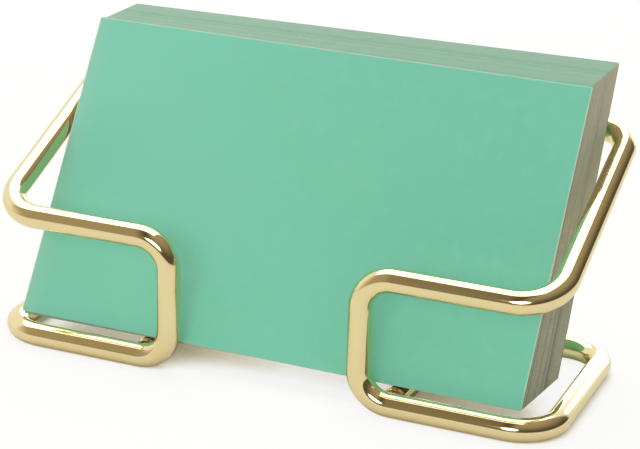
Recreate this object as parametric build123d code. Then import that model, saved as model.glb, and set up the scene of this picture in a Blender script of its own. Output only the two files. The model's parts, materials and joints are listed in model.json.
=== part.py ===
from build123d import *

import os
from math import atan2, cos, pi, radians, sin, sqrt

# Sizes are in millimetres and angles in degrees.
# Cards
card_width = 90.0
card_height = 54.0
card_thickness = 0.25
card_count = 28
card_lift = 55.0  # travel of a card that is slid up and out

# How the pack stands, from its front card to its rear card
rear_lean = 28.75  # from upright, towards the back
pack_fan = 2.25  # the front card leans this much further
front_turn = -0.25  # slant in the card's own plane, positive lifts its right end
pack_turn = 0.2  # slant of the cards just behind the front one
rear_turn = 0.65
front_overhang = 0.1  # the front card is pushed left of the next by this
front_lift = 0.25  # the front card stands this much higher than it would on the rest wires
break_after = 16  # cards in front of the pack's one wider parting
break_gap = 0.12  # extra room at that parting and behind the front card

# Clearances
card_gap = 0.02  # between two lifted cards, at their tops
seat_clearance = 0.05  # between a card's foot and the rest wires
upright_clearance = 0.55  # between the front card's foot and the uprights
rail_clearance = 0.45  # between the rear card and the rear rail
side_clearance = 1.6  # between a centred card's edge and the arm beside it
front_edge_gap = 0.15  # between the front card's left edge and the left arm
rear_edge_gap = 1.1  # between the rear card's right edge and the right arm
wire_end_gap = 0.4  # between a rest wire's cut end and the lower front bar

# Wire frame
wire_diameter = 4.0
end_chamfer = 0.3
front_height = 25.5  # table to the top of the upper front bars
front_step = 0.8  # the upper front bars stand this far in front of the lower ones
thumb_gap = 29.8  # clear width between the two uprights
rest_spacing = 44.8  # between the axes of the two card-rest wires
rail_below_top = 10.4  # rear card's top edge down to where it leans on the rail
foot_setback = 1.8  # the rear foot bars stand this far in front of the rail

# Bend radii of the wire's axis
rail_bend = 5.0
arm_bend = 7.0
upright_bend = 5.5
foot_bend = 7.0
rest_bend = 6.0

# Derived sizes
wire_radius = wire_diameter / 2
side_axis = card_width / 2 + side_clearance + wire_radius
upright_axis = thumb_gap / 2 + wire_radius
rest_axis = rest_spacing / 2
upper_bar_z = front_height - wire_radius
fan_step = pack_fan / (card_count - 1)
foot_gap = card_gap + (card_height + card_lift) * sin(radians(fan_step))
front_slip = front_edge_gap - side_clearance
rear_slip = side_clearance - rear_edge_gap


def between(front, rear, index):
    """Value for one card of the pack, running evenly from the front card's to the rear card's."""
    return front + (rear - front) * index / (card_count - 1)


def card_places():
    """Foot, lean, turn and sideways slip of each card: the foot is its rear lower edge, as (y, z)."""
    places = []
    for index in range(card_count):
        lean = radians(between(rear_lean + pack_fan, rear_lean, index))
        turn = between(pack_turn, rear_turn, index)
        slip = between(front_slip + front_overhang, rear_slip, index)
        if index == 0:
            turn = front_turn
            slip = front_slip
        raised = (rest_axis + abs(slip)) * sin(radians(abs(turn))) * cos(lean)
        z = wire_diameter + seat_clearance + raised
        if index == 0:
            z += front_lift * cos(lean)
            y = wire_radius + upright_clearance + card_thickness * cos(lean)
        else:
            ahead_y, ahead_z, ahead_lean = places[-1][:3]
            gap = foot_gap + (break_gap if index in (1, break_after) else 0)
            drop = z + card_thickness * sin(lean) - ahead_z
            y = ahead_y + card_thickness * cos(lean) + (gap + drop * sin(ahead_lean)) / cos(ahead_lean)
        places.append((y, z, lean, turn, slip))
    return places


def card(place):
    """One card, standing on its foot at its lean, turn and slip."""
    y, z, lean, turn, slip = place
    across = Vector(1, 0, 0)
    forward = Vector(0, -cos(lean), sin(lean))
    blank = Box(card_width, card_height, card_thickness, align=(Align.CENTER, Align.MIN, Align.MIN))
    return Plane((slip, y, z), x_dir=across, z_dir=forward) * Rot(0, 0, turn) * blank


def rail_corner(rear_place):
    """Place (y, z) where an arm's axis meets the rear rail's, so that the rear card leans on the rail."""
    y, z, lean, _, slip = rear_place
    reach = card_height - rail_below_top
    offset = wire_radius + rail_clearance
    rail_y = y + reach * sin(lean) + offset * cos(lean)
    rail_z = z + reach * cos(lean) - offset * sin(lean)
    # The rail's end bends come forward along the arms, so it stands back until they clear the card's side edges.
    arm_rise = atan2(rail_z - upper_bar_z, rail_y + front_step)
    into_bend = max(0.0, card_width / 2 + abs(slip) - (side_axis - rail_bend))
    bend_reach = rail_bend - sqrt(rail_bend**2 - into_bend**2)
    setback = bend_reach * cos(arm_rise + lean)
    return rail_y + setback * cos(lean), rail_z - setback * sin(lean)


def wire_frame(places):
    """The stand: one round wire swept along straight runs and tangent bends."""
    rail_y, rail_z = rail_corner(places[-1])
    rear_y = rail_y - foot_setback
    right_half = [
        (side_axis, rail_y, rail_z),
        (side_axis, -front_step, upper_bar_z),
        (upright_axis, -front_step, upper_bar_z),
        (upright_axis, 0, wire_radius),
        (side_axis, 0, wire_radius),
        (side_axis, rear_y, wire_radius),
        (rest_axis, rear_y, wire_radius),
        (rest_axis, wire_radius + wire_end_gap, wire_radius),
    ]
    right_bends = [rail_bend, arm_bend, upright_bend, upright_bend, foot_bend, foot_bend, rest_bend]
    left_half = [(-x, y, z) for x, y, z in reversed(right_half)]
    path = FilletPolyline(*left_half, *right_half, radius=right_bends[::-1] + right_bends)
    section = Plane(origin=path @ 0, z_dir=path % 0) * Circle(wire_radius)
    wire = sweep(section, path=path)
    print("wire length", round(path.length, 2), "volume", round(wire.volume, 2))
    print("section times length", round(pi * wire_radius**2 * path.length, 2))
    ends = wire.faces().filter_by(GeomType.PLANE)
    return chamfer(ends.edges(), end_chamfer)


places = card_places()
pieces = {"wire_frame": wire_frame(places)}
for number, place in enumerate(places, start=1):
    pieces[f"card_{number:02d}"] = card(place)

# The origin is at the middle of the object's footprint, on the table.
boxes = [piece.bounding_box() for piece in pieces.values()]
front_y = min(box.min.Y for box in boxes)
back_y = max(box.max.Y for box in boxes)
table_z = min(box.min.Z for box in boxes)
to_origin = Pos(0, -(front_y + back_y) / 2, -table_z)

os.makedirs("parts", exist_ok=True)
for name, piece in pieces.items():
    export_step(to_origin * piece, f"parts/{name}.step")
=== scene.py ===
"""Looks of a business card holder stand: a bent gold wire that holds a pack of mint green cards.

Sizes are in metres and angles in radians.
"""

import json
import logging
import random
from collections.abc import Iterator, Sequence
from dataclasses import dataclass, field
from enum import Enum
from math import acos, ceil, cos, pi, radians, sin, tan
from typing import Any

import bmesh
import bpy
from mathutils import Matrix, Vector


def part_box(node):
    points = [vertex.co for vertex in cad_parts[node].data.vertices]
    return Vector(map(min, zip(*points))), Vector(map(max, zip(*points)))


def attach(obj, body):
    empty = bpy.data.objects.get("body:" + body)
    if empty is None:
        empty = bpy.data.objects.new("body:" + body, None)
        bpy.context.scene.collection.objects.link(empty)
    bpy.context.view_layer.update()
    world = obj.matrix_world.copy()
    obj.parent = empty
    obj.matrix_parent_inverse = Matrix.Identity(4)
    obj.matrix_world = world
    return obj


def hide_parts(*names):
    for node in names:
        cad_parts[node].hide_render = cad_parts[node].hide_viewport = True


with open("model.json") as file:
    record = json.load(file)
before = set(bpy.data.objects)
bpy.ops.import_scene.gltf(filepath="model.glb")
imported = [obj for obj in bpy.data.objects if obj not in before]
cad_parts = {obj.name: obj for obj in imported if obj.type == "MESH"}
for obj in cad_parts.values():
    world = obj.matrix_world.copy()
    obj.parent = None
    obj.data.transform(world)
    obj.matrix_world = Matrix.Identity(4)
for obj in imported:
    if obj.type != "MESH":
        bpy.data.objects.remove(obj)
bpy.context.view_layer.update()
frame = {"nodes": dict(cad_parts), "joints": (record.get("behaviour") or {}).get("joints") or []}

LOG = logging.getLogger("card_stand")
NOISE_MEAN = 0.5

# Sockets of a Mix node for colours, by number because its sockets for other values share their names.
MIX_SHARE = 0
MIX_FIRST = 6
MIX_SECOND = 7
MIX_RESULT = 2

Colour = tuple[float, float, float, float]
Triple = tuple[float, float, float]
Band = tuple[float, float]  # where an ease starts and where it ends


class Shines(Enum):
    """Which surfaces a lamp reaches."""

    ON_ALL = "all"
    ON_POLISHED = "polished"


class LampShape(Enum):
    """Outline of a lamp."""

    SQUARE = "RECTANGLE"
    ROUND = "ELLIPSE"


class Channel(Enum):
    """Names of the mesh attributes that the finishes read."""

    UNBENT = "unbent"
    SHEET = "sheet"
    TONE = "tone"


class Signal:
    """One output of a shader graph, which takes part in Python expressions."""

    def __init__(self, graph: "Graph", socket: bpy.types.NodeSocket) -> None:
        """Keeps the socket and the graph that new nodes go into."""
        self.graph = graph
        self.socket = socket

    def other(self, output: str) -> "Signal":
        """Another output of the same node."""
        return Signal(self.graph, self.socket.node.outputs[output])

    def _math(self, operation: str, left: "Number", right: "Number" = 0.0) -> "Signal":
        """A Math node of one operation on two values."""
        return self.graph.node("ShaderNodeMath", {"operation": operation}, {0: left, 1: right})

    def __add__(self, right: "Number") -> "Signal":
        """This value plus another."""
        return self._math("ADD", self, right)

    def __radd__(self, left: "Number") -> "Signal":
        """Another value plus this one."""
        return self._math("ADD", left, self)

    def __sub__(self, right: "Number") -> "Signal":
        """This value less another."""
        return self._math("SUBTRACT", self, right)

    def __rsub__(self, left: "Number") -> "Signal":
        """Another value less this one."""
        return self._math("SUBTRACT", left, self)

    def __mul__(self, right: "Number") -> "Signal":
        """This value times another."""
        return self._math("MULTIPLY", self, right)

    def __rmul__(self, left: "Number") -> "Signal":
        """Another value times this one."""
        return self._math("MULTIPLY", left, self)

    def __abs__(self) -> "Signal":
        """This value without its sign."""
        return self._math("ABSOLUTE", self)

    def least(self, right: "Number") -> "Signal":
        """The smaller of this value and another."""
        return self._math("MINIMUM", self, right)

    def most(self, right: "Number") -> "Signal":
        """The larger of this value and another."""
        return self._math("MAXIMUM", self, right)

    def ease(self, low: float, high: float) -> "Signal":
        """A smooth step from 0 where this value is low to 1 where it is high."""
        inputs = {"Value": self, "From Min": low, "From Max": high}
        return self.graph.node("ShaderNodeMapRange", {"interpolation_type": "SMOOTHSTEP"}, inputs)


Number = Signal | float


@dataclass(frozen=True)
class Grain:
    """How fine a cloudy noise is; a scale of three numbers stretches each part of its vector by itself."""

    scale: float | Triple
    detail: float = 3.0
    roughness: float = 0.5


class Graph:
    """Adds nodes to one material's or world's tree."""

    def __init__(self, tree: bpy.types.NodeTree) -> None:
        """Empties the tree and starts afresh."""
        self.tree = tree
        tree.nodes.clear()

    def node(
        self,
        kind: str,
        settings: dict[str, Any] | None = None,
        inputs: dict[str | int, Any] | None = None,
        output: str | int = 0,
    ) -> Signal:
        """Makes one node.

        Args:
            kind: Blender's type name of the node.
            settings: properties that are set before the inputs; "stops" are a ramp's (place, colour) pairs.
            inputs: values or signals for the node's sockets, by name or number.
            output: which of the node's outputs to return.

        Returns:
            The chosen output; a node with no outputs returns its first input.
        """
        made = self.tree.nodes.new(kind)
        for key, value in (settings or {}).items():
            if key == "stops":
                self._set_stops(made.color_ramp, value)
            else:
                setattr(made, key, value)
        for key, value in (inputs or {}).items():
            socket = made.inputs[key]
            if isinstance(value, Signal):
                self.tree.links.new(value.socket, socket)
            else:
                socket.default_value = value
        return Signal(self, made.outputs[output] if made.outputs else made.inputs[0])

    @staticmethod
    def _set_stops(ramp: bpy.types.ColorRamp, stops: Sequence[tuple[float, Colour]]) -> None:
        """Gives a ramp its stops.

        Args:
            ramp: the ramp of a new node.
            stops: the place and colour of each stop, in order.
        """
        while len(ramp.elements) < len(stops):
            ramp.elements.new(1.0)
        for element, (place, colour) in zip(ramp.elements, stops):
            element.position = place
            element.color = colour

    def channel(self, name: Channel, output: str) -> Signal:
        """A mesh attribute, as its vector or its single value."""
        return self.node("ShaderNodeAttribute", {"attribute_name": name.value}, output=output)

    def noise(self, vector: Signal, grain: Grain, variant: Number = 0.0) -> Signal:
        """Adds cloudy noise.

        Args:
            vector: the place that the noise is read at, in metres.
            grain: how fine the noise is.
            variant: each variant has its own clouds.

        Returns:
            Values from 0 to 1, around a half.
        """
        scale = grain.scale
        if isinstance(scale, tuple):
            vector = self.node("ShaderNodeVectorMath", {"operation": "MULTIPLY"}, {0: vector, 1: scale})
            scale = 1.0
        inputs = {
            "Vector": vector,
            "W": variant,
            "Scale": scale,
            "Detail": grain.detail,
            "Roughness": grain.roughness,
        }
        return self.node("ShaderNodeTexNoise", {"noise_dimensions": "4D"}, inputs)

    def mix(self, share: Number, first: Signal | Colour, second: Signal | Colour) -> Signal:
        """A colour that goes from the first to the second as the share goes from 0 to 1."""
        inputs = {MIX_SHARE: share, MIX_FIRST: first, MIX_SECOND: second}
        return self.node("ShaderNodeMix", {"data_type": "RGBA"}, inputs, MIX_RESULT)

    def bump(
        self, height: Signal, distance: float, strength: float = 1.0, over: Signal | None = None
    ) -> Signal:
        """Adds a normal that follows a height.

        Args:
            height: the height over the surface, from 0 to 1.
            distance: how many metres a height of 1 is.
            strength: how much of the height shows.
            over: the normal that the height is added to, or None for the surface's own.

        Returns:
            The bumped normal.
        """
        inputs: dict[str | int, Any] = {"Height": height, "Strength": strength, "Distance": distance}
        if over is not None:
            inputs["Normal"] = over
        return self.node("ShaderNodeBump", {}, inputs)

    def rays(self) -> tuple[Signal, Signal]:
        """Tells apart the rays that reach a surface.

        Returns:
            Two masks: rays straight from the camera, and rays off a mirror or through a glass.
        """
        seen = self.node("ShaderNodeLightPath", {}, {}, output="Is Camera Ray")
        mirrored = seen.other("Is Glossy Ray").most(seen.other("Is Transmission Ray"))
        return seen, mirrored


def new_material(name: str) -> tuple[bpy.types.Material, Graph]:
    """Starts a material.

    Args:
        name: name of the material.

    Returns:
        The empty material and the graph that fills it.
    """
    material = bpy.data.materials.new(name)
    material.use_nodes = True
    return material, Graph(material.node_tree)


@dataclass(frozen=True)
class PolishedGold:
    """Gold-coloured wire, polished to a mirror, with faint lines left from drawing it."""

    name: str = "polished_gold"
    colour: Colour = (0.860, 0.735, 0.430, 1.0)
    deep_colour: Colour = (0.830, 0.695, 0.370, 1.0)
    roughness: float = 0.075
    line_roughness: float = 0.045
    haze_roughness: float = 0.050
    lines: Grain = Grain((5200.0, 5200.0, 60.0), 2.0)
    haze: Grain = Grain(190.0, 4.0, 0.6)
    ripple: Grain = Grain((160.0, 160.0, 55.0), 1.0)
    dull_band: Band = (0.52, 0.78)
    ripple_height: float = 0.000012
    line_height: float = 0.0000006

    def material(self) -> bpy.types.Material:
        """Makes the material.

        Returns:
            A metal whose roughness and normal follow the unbent wire.
        """
        material, graph = new_material(self.name)
        unbent = graph.channel(Channel.UNBENT, "Vector")
        lines = graph.noise(unbent, self.lines)
        haze = graph.noise(unbent, self.haze)
        ripple = graph.noise(unbent, self.ripple)
        dull = haze.ease(*self.dull_band)
        waved = graph.bump(ripple, self.ripple_height)
        shader = graph.node(
            "ShaderNodeBsdfPrincipled",
            {},
            {
                "Base Color": graph.mix(haze, self.colour, self.deep_colour),
                "Metallic": 1.0,
                "Roughness": self.roughness + lines * self.line_roughness + dull * self.haze_roughness,
                "Normal": graph.bump(lines, self.line_height, over=waved),
            },
        )
        graph.node("ShaderNodeOutputMaterial", {}, {"Surface": shader})
        return material


@dataclass(frozen=True)
class MintPrint:
    """Smooth matt card printed mint green all over, with painted light that makes it lighter on the left.

    The face is paler along its left end. Along the cut edges the front card, whose tone is 0, has a pale
    rim that is partly wear and partly a painted highlight, and the cards behind it a dull margin that is
    partly wear and partly painted shade between the cards, with painted shade on the strips at their ends.
    """

    name: str = "mint_print"
    # Painted light: the face is lighter on the left, where the light falls, and darker to the right.
    painted_lit_left_colour: Colour = (0.214, 0.620, 0.466, 1.0)
    painted_shade_right_colour: Colour = (0.178, 0.574, 0.408, 1.0)
    warm_colour: Colour = (0.188, 0.588, 0.388, 1.0)
    pale_colour: Colour = (0.250, 0.620, 0.460, 1.0)
    # Paler along the card's left end.
    left_end_colour: Colour = (0.330, 0.610, 0.450, 1.0)
    # Pale rim of the front card: partly wear, partly a painted highlight where light catches its cut edge.
    rim_wear_and_highlight_colour: Colour = (0.720, 0.800, 0.700, 1.0)
    # Dull margins of the cards behind the front one: partly wear, partly painted shade between the cards;
    # darker on dark-toned cards.
    top_wear_and_shade_colour: Colour = (0.500, 0.480, 0.465, 1.0)
    dark_top_wear_and_shade_colour: Colour = (0.400, 0.390, 0.370, 1.0)
    # Painted shade on the strips at the ends of the cards behind, where the gaps between them are dark.
    end_painted_shade_colour: Colour = (0.300, 0.265, 0.170, 1.0)
    roughness: float = 0.50
    grain_roughness: float = 0.12
    specular: float = 0.35
    clouds: Grain = Grain(42.0, 2.0)
    mottle: Grain = Grain(330.0, 4.0, 0.65)
    grain: Grain = Grain(5200.0, 3.0, 0.7)
    cloud_band: Band = (0.40, 0.75)
    cloud_share: float = 0.50
    mottle_band: Band = (0.45, 0.80)
    mottle_share: float = 0.35
    grain_height: float = 0.000004
    grain_strength: float = 0.35
    # How far right the painted light reaches the darker colour, as a share of half the width.
    painted_light_reach: float = 0.6
    left_end_width: float = 0.0045
    # Width of the margin along the cut edges that carries wear, painted highlight and painted shade.
    margin_width: float = 0.00030
    rim_fade: float = 0.0040
    rim_wear_and_highlight_share: float = 0.55
    dull_wear_and_shade_share: float = 0.42
    end_painted_shade_share: float = 0.40
    tone_share: float = 0.07
    least_tone: float = 0.02
    own_speckle: float = 40.0

    def material(self, half_width: float, half_height: float) -> bpy.types.Material:
        """Makes the material.

        Args:
            half_width: half of the card's width.
            half_height: half of the card's height.

        Returns:
            A paper finish that reads each card's own sheet coordinates.
        """
        material, graph = new_material(self.name)
        sheet = graph.channel(Channel.SHEET, "Vector")
        tone = graph.channel(Channel.TONE, "Fac")
        across = graph.node("ShaderNodeSeparateXYZ", {}, {0: sheet})
        upward = across.other("Y")
        clouds = graph.noise(sheet, self.clouds)
        mottle = graph.noise(sheet, self.mottle, tone * self.own_speckle)
        grain = graph.noise(sheet, self.grain)
        # Painted light: lighter at the card's left end, darker towards its right.
        rightward = across.ease(-half_width, half_width * self.painted_light_reach)
        colour = graph.mix(rightward, self.painted_lit_left_colour, self.painted_shade_right_colour)
        colour = graph.mix(clouds.ease(*self.cloud_band) * self.cloud_share, colour, self.warm_colour)
        colour = graph.mix(mottle.ease(*self.mottle_band) * self.mottle_share, colour, self.pale_colour)
        # Paler along the card's left end.
        near_left_end = 1.0 - (across + half_width).ease(-self.left_end_width, self.left_end_width)
        colour = graph.mix(near_left_end, colour, self.left_end_colour)
        from_end = half_width - abs(across)
        from_top = half_height - abs(upward)
        at_end = (from_top - from_end).ease(-self.margin_width, self.margin_width)
        ragged = from_end.least(from_top) + (mottle - NOISE_MEAN) * self.margin_width
        # Margin along the cut edges: wear, with a painted highlight on the front card and painted shade
        # behind it.
        margin_wear_and_painted_light = 1.0 - ragged.ease(0.0, self.margin_width)
        inner = tone.ease(0.0, self.least_tone)
        above_foot = (upward + half_height).ease(0.0, self.rim_fade)
        # Front card: a pale rim, partly wear and partly a painted highlight, fading in above the foot.
        rim_wear_and_highlight_strength = (1.0 - inner) * above_foot * self.rim_wear_and_highlight_share
        # Cards behind the front one: a dull margin, partly wear and partly painted shade, with more painted
        # shade at the ends.
        dull_wear_and_shade_strength = inner * (self.dull_wear_and_shade_share + at_end * self.end_painted_shade_share - tone * self.tone_share)
        # Margin colour of the cards behind: partly wear and partly painted shade on top, painted shade on
        # the end strips.
        dull = graph.mix(at_end, graph.mix(tone, self.top_wear_and_shade_colour, self.dark_top_wear_and_shade_colour), self.end_painted_shade_colour)
        edge = graph.mix(inner, self.rim_wear_and_highlight_colour, dull)
        shader = graph.node(
            "ShaderNodeBsdfPrincipled",
            {},
            {
                "Base Color": graph.mix(margin_wear_and_painted_light * (rim_wear_and_highlight_strength + dull_wear_and_shade_strength), colour, edge),
                "Roughness": self.roughness + grain * self.grain_roughness,
                "Specular IOR Level": self.specular,
                "Normal": graph.bump(grain, self.grain_height, self.grain_strength),
            },
        )
        graph.node("ShaderNodeOutputMaterial", {}, {"Surface": shader})
        return material


@dataclass(frozen=True)
class CutPaper:
    """The guillotined edge of a card: pale core with lengthwise fibres and a breath of green ink.

    Painted shade makes it greyer towards the card's foot, most on cards with dark edges.
    """

    name: str = "cut_paper"
    core_colour: Colour = (0.760, 0.670, 0.500, 1.0)
    # Darkest colour of the edges: for fibres and tone, and for the painted shade near the foot.
    dark_edge_and_shade_colour: Colour = (0.240, 0.220, 0.145, 1.0)
    ink_colour: Colour = (0.340, 0.440, 0.310, 1.0)
    roughness: float = 0.80
    fibre_roughness: float = 0.20
    specular: float = 0.20
    fibres: Grain = Grain((700.0, 700.0, 16000.0), 3.0, 0.6)
    fibre_band: Band = (0.35, 0.75)
    fibre_height: float = 0.000008
    fibre_strength: float = 0.50
    fibre_shade: float = 0.35
    # Painted shade near the table: how far up from the foot it reaches, how deep it is, and how much deeper
    # on dark-edged cards.
    foot_shade_reach: float = 0.50
    foot_painted_shade: float = 0.10
    tone_shade: float = 0.25
    foot_tone_painted_shade: float = 0.45
    ink_share: float = 0.25
    own_fibres: float = 40.0

    def material(self, half_height: float) -> bpy.types.Material:
        """Makes the material.

        Args:
            half_height: half of the card's height.

        Returns:
            A rough paper finish whose fibres run along the edge, with painted shade towards the card's
            foot.
        """
        material, graph = new_material(self.name)
        sheet = graph.channel(Channel.SHEET, "Vector")
        tone = graph.channel(Channel.TONE, "Fac")
        fibres = graph.noise(sheet, self.fibres, tone * self.own_fibres)
        upward = graph.node("ShaderNodeSeparateXYZ", {}, {0: sheet}, output="Y")
        # Painted shade: the edges grow darker towards the card's foot, near the table.
        low = 1.0 - upward.ease(-half_height, half_height * self.foot_shade_reach)
        shade = fibres.ease(*self.fibre_band) * self.fibre_shade + low * self.foot_painted_shade
        # Darker edges by tone, with deeper painted shade at the foot.
        shade = shade + tone * (self.tone_shade + low * self.foot_tone_painted_shade)
        colour = graph.mix(shade, self.core_colour, self.dark_edge_and_shade_colour)
        shader = graph.node(
            "ShaderNodeBsdfPrincipled",
            {},
            {
                "Base Color": graph.mix(fibres * self.ink_share, colour, self.ink_colour),
                "Roughness": self.roughness + (fibres - NOISE_MEAN) * self.fibre_roughness,
                "Specular IOR Level": self.specular,
                "Normal": graph.bump(fibres, self.fibre_height, self.fibre_strength),
            },
        )
        graph.node("ShaderNodeOutputMaterial", {}, {"Surface": shader})
        return material


@dataclass(frozen=True)
class PaleTable:
    """Plain white table top: part lit, which keeps the object's shadow, and part glow,
    which has painted shade near the object, darkest close under it.
    """

    name: str = "pale_table"
    colour: Colour = (0.940, 0.900, 0.810, 1.0)
    grain_colour: Colour = (0.920, 0.880, 0.790, 1.0)
    open_glow: Colour = (1.0, 1.0, 0.995, 1.0)
    # Painted shade in the camera's view of the table: warm where nearby parts hide the sky, deep brown
    # close under the pack.
    painted_shade_glow: Colour = (0.70, 0.65, 0.49, 1.0)
    painted_deep_shade_glow: Colour = (0.160, 0.135, 0.040, 1.0)
    mirrored_glow: Colour = (0.80, 0.80, 0.79, 1.0)
    # How open the sky is for plain white, for the painted shade and for the painted deep shade.
    open_level: float = 0.42
    painted_shade_level: float = 0.26
    painted_deep_shade_level: float = 0.15
    seen_share: float = 0.86
    mirrored_share: float = 0.50
    # The painted shade is lightest where the table is open towards this side, as if lit from the front
    # left.
    painted_light_side: Triple = (-0.60, -0.40, 0.69)
    shade_reach: float = 0.020
    shade_samples: int = 16
    under_reach: float = 0.008
    under_samples: int = 8
    under_band: Band = (0.15, 0.90)
    roughness: float = 0.75
    specular: float = 0.10
    grain: Grain = Grain(60.0)

    def material(self) -> bpy.types.Material:
        """Makes the material.

        Returns:
            A matt white that is part lit and part plain white wherever a ray sees it;
            where the camera sees it, the plain white darkens to painted shade near the object.
        """
        material, graph = new_material(self.name)
        place = graph.node("ShaderNodeTexCoord", {}, {}, output="Object")
        grain = graph.noise(place, self.grain)
        lit = graph.node(
            "ShaderNodeBsdfPrincipled",
            {},
            {
                "Base Color": graph.mix(grain, self.colour, self.grain_colour),
                "Roughness": self.roughness,
                "Specular IOR Level": self.specular,
            },
        )
        seen, mirrored = graph.rays()
        open_sky = graph.node(
            "ShaderNodeAmbientOcclusion",
            {"samples": self.under_samples},
            {"Distance": self.under_reach},
            "AO",
        )
        painted_light_side = graph.node("ShaderNodeCombineXYZ", {}, dict(enumerate(self.painted_light_side)))
        # Painted shade: how open the table is towards the front left, within a short reach.
        open_side = graph.node(
            "ShaderNodeAmbientOcclusion",
            {"samples": self.shade_samples},
            {"Distance": self.shade_reach, "Normal": painted_light_side},
            "AO",
        )
        stops = [
            (self.painted_deep_shade_level, self.painted_deep_shade_glow),
            (self.painted_shade_level, self.painted_shade_glow),
            (self.open_level, self.open_glow),
        ]
        # Painted shade: for the camera the glow darkens to warm shade and deep brown where the table is
        # hidden.
        seen_glow_with_painted_shade = graph.node("ShaderNodeValToRGB", {"stops": stops}, {0: open_side})
        glow = graph.mix(seen, self.mirrored_glow, seen_glow_with_painted_shade)
        plain = graph.node("ShaderNodeEmission", {}, {"Color": glow, "Strength": 1.0})
        in_mirror = mirrored * open_sky.ease(*self.under_band) * self.mirrored_share
        share = (seen * self.seen_share).most(in_mirror)
        surface = graph.node("ShaderNodeMixShader", {}, {0: share, 1: lit, 2: plain})
        graph.node("ShaderNodeOutputMaterial", {}, {"Surface": surface})
        return material


def close_skin(
    shell: bmesh.types.BMesh, loops: Sequence[Sequence[bmesh.types.BMVert]]
) -> list[bmesh.types.BMFace]:
    """Joins loops of vertices into one closed skin.

    Args:
        shell: the mesh that the loops are in.
        loops: loops with the same count of vertices, clockwise as seen looking from the first to the last.

    Returns:
        The faces between the loops, without the two that close the ends.
    """
    between = []
    for near, far in zip(loops, loops[1:]):
        for this in range(len(near)):
            after = (this + 1) % len(near)
            between.append(shell.faces.new((near[this], near[after], far[after], far[this])))
    shell.faces.new(reversed(loops[0]))
    shell.faces.new(loops[-1])
    return between


def new_piece(name: str, shell: bmesh.types.BMesh) -> bpy.types.Object:
    """Turns a shell into an object of the scene, at the origin of the frame.

    Args:
        name: name of the object and of its mesh.
        shell: the shape, which is freed.

    Returns:
        The new object.
    """
    mesh = bpy.data.meshes.new(name)
    shell.to_mesh(mesh)
    shell.free()
    piece = bpy.data.objects.new(name, mesh)
    bpy.context.scene.collection.objects.link(piece)
    return piece


def store_vectors(mesh: bpy.types.Mesh, channel: Channel, vectors: Sequence[Vector]) -> None:
    """Keeps one vector for each vertex of a mesh under a channel's name."""
    layer = mesh.attributes.new(channel.value, "FLOAT_VECTOR", "POINT")
    layer.data.foreach_set("vector", [part for vector in vectors for part in vector])


def store_value(mesh: bpy.types.Mesh, channel: Channel, value: float) -> None:
    """Keeps one value for all vertices of a mesh under a channel's name."""
    layer = mesh.attributes.new(channel.value, "FLOAT", "POINT")
    layer.data.foreach_set("value", [value] * len(mesh.vertices))


@dataclass(frozen=True)
class Bend:
    """One corner of the wire's centre line, and the radius that rounds it."""

    corner: Vector
    radius: float = 0.0


@dataclass(frozen=True)
class Station:
    """One place along the wire: a point, the way that the wire runs there, and the length up to it."""

    point: Vector
    along: Vector
    length: float


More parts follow.
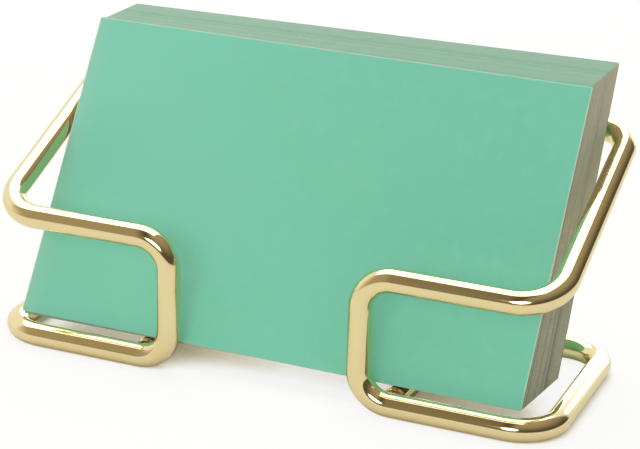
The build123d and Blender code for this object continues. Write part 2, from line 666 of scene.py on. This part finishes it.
@dataclass
class WireStand:
    """The stand: one round wire, bent in a single unbroken line."""

    finish: PolishedGold = field(default_factory=PolishedGold)
    name: str = "bent_wire"
    node: str = "wire_frame"
    body: str = "stand"
    slot: str = "gold_wire"
    wire_radius: float = 0.0020
    front_height: float = 0.0255
    front_step: float = 0.0008
    thumb_gap: float = 0.0298
    rest_spacing: float = 0.0448
    foot_setback: float = 0.0018
    wire_end_gap: float = 0.0004
    end_chamfer: float = 0.0003
    rail_bend: float = 0.0050
    arm_bend: float = 0.0070
    upright_bend: float = 0.0055
    foot_bend: float = 0.0070
    rest_bend: float = 0.0060
    sides: int = 48
    arc_step: float = radians(4.0)
    run_step: float = 0.0040
    cap_share: float = 0.5
    sharp_angle: float = radians(30.0)

    def bends(self) -> list[Bend]:
        """The corners of the centre line, from the left rest wire's end to the right one's.

        Returns:
            Each corner with its bend radius; the two ends have none.
        """
        low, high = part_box(self.node)
        radius = self.wire_radius
        side = high.x - radius
        upright = self.thumb_gap / 2 + radius
        rest = self.rest_spacing / 2
        upper_y = low.y + radius
        lower_y = upper_y + self.front_step
        rail_y = high.y - radius
        rear_y = rail_y - self.foot_setback
        base_z = low.z + radius
        bar_z = self.front_height - radius
        rail_z = high.z - radius
        right = [
            Bend(Vector((side, rail_y, rail_z)), self.rail_bend),
            Bend(Vector((side, upper_y, bar_z)), self.arm_bend),
            Bend(Vector((upright, upper_y, bar_z)), self.upright_bend),
            Bend(Vector((upright, lower_y, base_z)), self.upright_bend),
            Bend(Vector((side, lower_y, base_z)), self.foot_bend),
            Bend(Vector((side, rear_y, base_z)), self.foot_bend),
            Bend(Vector((rest, rear_y, base_z)), self.rest_bend),
            Bend(Vector((rest, lower_y + radius + self.wire_end_gap, base_z))),
        ]
        mirror = Vector((-1.0, 1.0, 1.0))
        left = [Bend(bend.corner * mirror, bend.radius) for bend in reversed(right)]
        return left + right

    def stations(self) -> list[Station]:
        """Walks the centre line, close together on the bends and further apart on the straight runs.

        Returns:
            The places along the wire, from end to end.
        """
        bends = self.bends()
        found: list[Station] = []

        def walk(point: Vector, along: Vector) -> None:
            """Adds a place, with straight steps up to it where it is far off.

            Args:
                point: where the place is.
                along: the way that the wire runs there.
            """
            if found:
                last = found[-1]
                gap = (point - last.point).length
                steps = max(1, ceil(gap / self.run_step))
                for step in range(1, steps):
                    share = step / steps
                    between = last.point.lerp(point, share)
                    found.append(Station(between, along, last.length + gap * share))
                found.append(Station(point, along, last.length + gap))
            else:
                found.append(Station(point, along, 0.0))

        walk(bends[0].corner, (bends[1].corner - bends[0].corner).normalized())
        for before, bend, after in zip(bends, bends[1:], bends[2:]):
            into = (bend.corner - before.corner).normalized()
            out = (after.corner - bend.corner).normalized()
            turn = acos(max(-1.0, min(1.0, into.dot(out))))
            start = bend.corner - into * (bend.radius * tan(turn / 2))
            inside = (out - into * into.dot(out)).normalized()
            centre = start + inside * bend.radius
            steps = ceil(turn / self.arc_step)
            for step in range(steps + 1):
                angle = turn * step / steps
                point = centre + (into * sin(angle) - inside * cos(angle)) * bend.radius
                walk(point, into * cos(angle) + inside * sin(angle))
        walk(bends[-1].corner, (bends[-1].corner - bends[-2].corner).normalized())
        return found

    def rings(self) -> Iterator[tuple[Station, float]]:
        """Sets out the rings of the wire's skin: chamfered ends and a plain round wire between.

        Returns:
            Each ring's place and radius, from end to end.
        """
        stations = self.stations()
        first, last = stations[0], stations[-1]
        chamfer = self.end_chamfer
        core = self.wire_radius - chamfer
        cap = core * self.cap_share
        full_until = last.length - chamfer
        yield first, cap
        yield first, core
        yield Station(first.point + first.along * chamfer, first.along, chamfer), self.wire_radius
        for station in stations[1:-1]:
            if chamfer < station.length < full_until:
                yield station, self.wire_radius
        yield Station(last.point - last.along * chamfer, last.along, full_until), self.wire_radius
        yield last, core
        yield last, cap

    def build(self) -> bpy.types.Object:
        """Sweeps a round section along the centre line.

        Returns:
            The wire as one closed mesh, in place.
        """
        shell = bmesh.new()
        unbent: list[Vector] = []
        loops: list[list[bmesh.types.BMVert]] = []
        outward = Vector((1.0, 0.0, 0.0))
        along_before: Vector | None = None
        for station, radius in self.rings():
            if along_before is not None:
                outward = along_before.rotation_difference(station.along) @ outward
            along_before = station.along
            sideways = station.along.cross(outward)
            loop = []
            for side in range(self.sides):
                angle = 2 * pi * side / self.sides
                arm = outward * cos(angle) + sideways * sin(angle)
                loop.append(shell.verts.new(station.point + arm * radius))
                unbent.append(Vector((cos(angle) * radius, sin(angle) * radius, station.length)))
            loops.append(loop)
        close_skin(shell, loops)
        piece = new_piece(self.name, shell)
        store_vectors(piece.data, Channel.UNBENT, unbent)
        piece.data.shade_smooth()
        piece.data.set_sharp_from_angle(angle=self.sharp_angle)
        return piece

    def dress(self, piece: bpy.types.Object) -> None:
        """Gives the wire its finish and its place on the stand's body.

        Args:
            piece: the wire.
        """
        piece.data.materials.append(self.finish.material())
        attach(piece, self.body)
        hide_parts(self.node)
        LOG.info("%s rides on %s and stands for %s", piece.name, self.body, self.node)


@dataclass(frozen=True)
class Sheet:
    """Where one card stands: its middle, its own three directions and its size."""

    middle: Vector
    across: Vector
    upward: Vector
    forward: Vector
    width: float
    height: float
    thickness: float

    @classmethod
    def of_node(cls, node: str) -> "Sheet":
        """Reads a card's place from its solid in the frame.

        Args:
            node: name of the card's node.

        Returns:
            The card's place; forward is the side that faces the front.
        """
        mesh = frame["nodes"][node].data
        largest = max(face.area for face in mesh.polygons)
        broad = [face for face in mesh.polygons if face.area > largest / 2]
        forward = min((face.normal for face in broad), key=lambda normal: normal.y).copy()
        upward = Vector(next(joint["axis"] for joint in frame["joints"] if joint["child"] == node))
        corners = [vertex.co for vertex in mesh.vertices]
        across = cls._longest_edge(corners, forward, upward)
        upward = forward.cross(across)
        spans = [cls._span(corners, axis) for axis in (across, upward, forward)]
        middle = sum(
            (axis * (low + high) / 2 for axis, (low, high) in zip((across, upward, forward), spans)),
            Vector(),
        )
        width, height, thickness = (high - low for low, high in spans)
        return cls(middle, across, upward, forward, width, height, thickness)

    @staticmethod
    def _longest_edge(corners: Sequence[Vector], forward: Vector, upward: Vector) -> Vector:
        """Finds the way that the card's long edges run.

        Args:
            corners: the corners of the card's solid.
            forward: the way that the card faces.
            upward: the way that the card slides out.

        Returns:
            The direction of the long edges, pointing to the right.
        """
        foot = sorted(corners, key=lambda corner: corner.dot(upward))[: len(corners) // 2]
        left = min(foot, key=lambda corner: corner.x)
        right = max(foot, key=lambda corner: corner.x)
        edge = right - left
        return (edge - forward * edge.dot(forward)).normalized()

    @staticmethod
    def _span(corners: Sequence[Vector], axis: Vector) -> tuple[float, float]:
        """The least and greatest reach of some corners along an axis."""
        reaches = [corner.dot(axis) for corner in corners]
        return min(reaches), max(reaches)

    def place(self, local: Vector) -> Vector:
        """A point of the frame, from distances across, up and forward of the card's middle."""
        return self.middle + self.across * local.x + self.upward * local.y + self.forward * local.z


@dataclass
class CardPack:
    """The pack of cards: each is a separate sheet that slides up and out by itself."""

    print_finish: MintPrint = field(default_factory=MintPrint)
    edge_finish: CutPaper = field(default_factory=CutPaper)
    prefix: str = "card_"
    slot: str = "green_card"
    edge_index: int = 1
    corner_radius: float = 0.00025
    edge_roll: float = 0.00004
    corner_steps: int = 5
    tone_seed: int = 11
    tone_power: int = 2
    # Cards whose edges are painted fully dark as shade: one near the front of the pack, and the rear one.
    painted_shade_cards: tuple[int, ...] = (3, 28)

    def nodes(self) -> list[str]:
        """Names of the cards' nodes, front to rear."""
        return sorted(name for name in frame["nodes"] if name.startswith(self.prefix))

    def outline(self, sheet: Sheet, inset: float) -> list[tuple[float, float]]:
        """The card's outline with its corners just rounded.

        Args:
            sheet: the card's place and size.
            inset: how far inside the card's edge the outline runs.

        Returns:
            Points across and up from the card's middle, anticlockwise from the front.
        """
        reach = self.corner_radius - inset
        half_width = sheet.width / 2 - self.corner_radius
        half_height = sheet.height / 2 - self.corner_radius
        points = []
        for corner, (right, top) in enumerate(((1, 1), (-1, 1), (-1, -1), (1, -1))):
            for step in range(self.corner_steps + 1):
                angle = pi / 2 * (corner + step / self.corner_steps)
                across = right * half_width + reach * cos(angle)
                upward = top * half_height + reach * sin(angle)
                points.append((across, upward))
        return points

    def build(self, node: str, sheet: Sheet, tone: float) -> bpy.types.Object:
        """Makes one card with its faces, its cut edges and the slight roll between them.

        Args:
            node: name of the card's node.
            sheet: the card's place and size.
            tone: how dark its cut edges are, from 0 to 1.

        Returns:
            The card as one closed mesh, in place.
        """
        shell = bmesh.new()
        half = sheet.thickness / 2
        roll = self.edge_roll
        eased = roll * (1 - sin(pi / 4))
        profile = [(roll, half), (eased, half - eased), (0.0, half - roll)]
        profile += [(inset, -depth) for inset, depth in reversed(profile)]
        local: list[Vector] = []
        loops: list[list[bmesh.types.BMVert]] = []
        for inset, depth in profile:
            loop = []
            for across, upward in self.outline(sheet, inset):
                local.append(Vector((across, upward, depth)))
                loop.append(shell.verts.new(sheet.place(local[-1])))
            loops.append(loop)
        for edge in close_skin(shell, loops[::-1]):
            edge.material_index = self.edge_index
        piece = new_piece(f"{node}_sheet", shell)
        store_vectors(piece.data, Channel.SHEET, local)
        store_value(piece.data, Channel.TONE, tone)
        return piece

    def tones(self) -> list[float]:
        """Draws how dark each card's edges are.

        Returns:
            A tone for each card, front to rear: none at the front, a few dark as painted shade, the rest by
                chance.
        """
        chance = random.Random(self.tone_seed)
        least = self.print_finish.least_tone
        tones = [max(chance.random() ** self.tone_power, least) for _ in self.nodes()]
        tones[0] = 0.0
        # Painted shade: these cards get the darkest edges.
        for number in self.painted_shade_cards:
            tones[number - 1] = 1.0
        return tones

    def build_all(self) -> None:
        """Builds and dresses every card of the pack."""
        sheets = {node: Sheet.of_node(node) for node in self.nodes()}
        first = next(iter(sheets.values()))
        print_material = self.print_finish.material(first.width / 2, first.height / 2)
        edge_material = self.edge_finish.material(first.height / 2)
        for (node, sheet), tone in zip(sheets.items(), self.tones()):
            piece = self.build(node, sheet, tone)
            piece.data.materials.append(print_material)
            piece.data.materials.append(edge_material)
            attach(piece, node)
            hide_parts(node)
            LOG.info("%s rides on %s and stands for it", piece.name, node)


@dataclass(frozen=True)
class Softbox:
    """A flat lamp that faces the stand, or hangs level and faces the table."""

    name: str
    middle: Triple
    width: float
    depth: float
    brightness: float
    shines: Shines = Shines.ON_ALL
    shape: LampShape = LampShape.SQUARE
    level: bool = False

    def hang(self) -> None:
        """Makes the lamp; its power follows from its brightness, width and depth."""
        lamp = bpy.data.lights.new(self.name, "AREA")
        lamp.shape = self.shape.value
        lamp.size = self.width
        lamp.size_y = self.depth
        lamp.energy = self.brightness * pi * self.width * self.depth
        box = bpy.data.objects.new(self.name, lamp)
        box.location = self.middle
        if not self.level:
            box.rotation_euler = Vector(self.middle).to_track_quat("Z", "Y").to_euler()
        box.visible_camera = False
        box.visible_diffuse = self.shines is Shines.ON_ALL
        bpy.context.scene.collection.objects.link(box)
        LOG.info("%s hung", self.name)


@dataclass
class Studio:
    """The table, the lamps and the room: white behind and to the left, dim in front and to the right."""

    table: PaleTable = field(default_factory=PaleTable)
    table_radius: float = 4.0
    table_sides: int = 96
    table_drop: float = 0.00002
    lamps: tuple[Softbox, ...] = (
        Softbox(
            "overhead_softbox",
            middle=(-0.28, 0.34, 0.75),
            width=0.94,
            depth=0.98,
            brightness=2.2,
            level=True,
        ),
        Softbox(
            "front_softbox",
            middle=(0.13, -1.20, 0.48),
            width=0.72,
            depth=0.48,
            brightness=3.0,
            shape=LampShape.ROUND,
        ),
        Softbox(
            "back_softbox",
            middle=(0.0, 1.95, 0.45),
            width=1.90,
            depth=0.90,
            brightness=2.2,
            shines=Shines.ON_POLISHED,
        ),
    )
    white: Colour = (1.0, 1.0, 1.0, 1.0)
    pale_left: Colour = (0.84, 0.76, 0.60, 1.0)
    dim_front: Colour = (0.44, 0.37, 0.26, 1.0)
    dark_right: Colour = (0.10, 0.085, 0.065, 1.0)
    dim_above: Colour = (0.42, 0.36, 0.27, 1.0)
    even_light: Colour = (0.52, 0.52, 0.515, 1.0)
    bright_side: Triple = (-0.60, 0.80, 0.0)
    white_band: Band = (0.26, 0.46)
    left_band: Band = (-0.98, -0.65)
    front_band: Band = (-0.55, -0.05)
    right_band: Band = (-0.05, 0.25)
    above_band: Band = (0.15, 1.0)

    def lay_table(self) -> None:
        """Makes the round table top just under the stand."""
        shell = bmesh.new()
        bmesh.ops.create_circle(shell, cap_ends=True, segments=self.table_sides, radius=self.table_radius)
        bmesh.ops.translate(shell, verts=shell.verts, vec=(0.0, 0.0, -self.table_drop))
        piece = new_piece("table_top", shell)
        piece.data.materials.append(self.table.material())
        LOG.info("%s laid", piece.name)

    def paint_room(self) -> None:
        """Paints the room by direction for mirrored surfaces, and as one even light for matt ones."""
        world = bpy.data.worlds.new("room")
        world.use_nodes = True
        bpy.context.scene.world = world
        graph = Graph(world.node_tree)
        way = graph.node("ShaderNodeTexCoord", {}, {}, output="Generated")
        rightward = graph.node("ShaderNodeSeparateXYZ", {}, {0: way})
        upward = rightward.other("Z")
        pair = {0: way, 1: self.bright_side}
        facing = graph.node("ShaderNodeVectorMath", {"operation": "DOT_PRODUCT"}, pair, "Value")
        above = upward.ease(*self.above_band) * rightward.ease(*self.right_band)
        dark = graph.mix(above, self.dark_right, self.dim_above)
        dim = graph.mix(rightward.ease(*self.front_band), self.dim_front, dark)
        dim = graph.mix(rightward.ease(*self.left_band), self.pale_left, dim)
        room = graph.mix(facing.ease(*self.white_band), dim, self.white)
        seen, mirrored = graph.rays()
        painted = graph.mix(seen, graph.mix(mirrored, self.even_light, room), self.white)
        shine = graph.node("ShaderNodeBackground", {}, {"Color": painted, "Strength": 1.0})
        graph.node("ShaderNodeOutputWorld", {}, {"Surface": shine})

    def set_up(self) -> None:
        """Sets up the table, the lamps and the room."""
        self.lay_table()
        for lamp in self.lamps:
            lamp.hang()
        self.paint_room()
        LOG.info("studio set up")


@dataclass(frozen=True)
class PhotoCamera:
    """The camera at the photograph's viewing angle."""

    stand: str = "wire_frame"
    azimuth: float = radians(21.542)
    elevation: float = radians(18.92)
    roll: float = radians(2.42)
    distance: float = 0.34035
    clip_share: float = 0.01
    target_right: float = 0.00327
    target_behind: float = 0.01780
    target_height: float = 0.02491
    lens_mm: float = 115.0
    sensor_mm: float = 36.0

    def place(self) -> None:
        """Stands the camera on its bearing and turns it about its own axis by the roll."""
        back = Vector((
            sin(self.azimuth) * cos(self.elevation),
            -cos(self.azimuth) * cos(self.elevation),
            sin(self.elevation),
        ))
        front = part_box(self.stand)[0].y
        target = Vector((self.target_right, front + self.target_behind, self.target_height))
        right = Vector((0.0, 0.0, 1.0)).cross(back).normalized()
        upward = back.cross(right)
        level = Matrix((right, upward, back)).transposed()
        lens = bpy.data.cameras.new("camera")
        lens.lens = self.lens_mm
        lens.sensor_width = self.sensor_mm
        lens.clip_start = self.distance * self.clip_share
        camera = bpy.data.objects.new("camera", lens)
        turned = level @ Matrix.Rotation(self.roll, 3, "Z")
        camera.matrix_world = Matrix.Translation(target + back * self.distance) @ turned.to_4x4()
        bpy.context.scene.collection.objects.link(camera)
        bpy.context.scene.camera = camera
        LOG.info("%s placed", camera.name)


def main() -> None:
    """Builds the stand, the cards, the studio and the camera, in that order."""
    logging.basicConfig(level=logging.INFO, format="%(name)s: %(message)s")
    bpy.context.scene.view_settings.view_transform = "Standard"
    stand = WireStand()
    stand.dress(stand.build())
    CardPack().build_all()
    Studio().set_up()
    PhotoCamera().place()


if __name__ == "__main__":
    main()
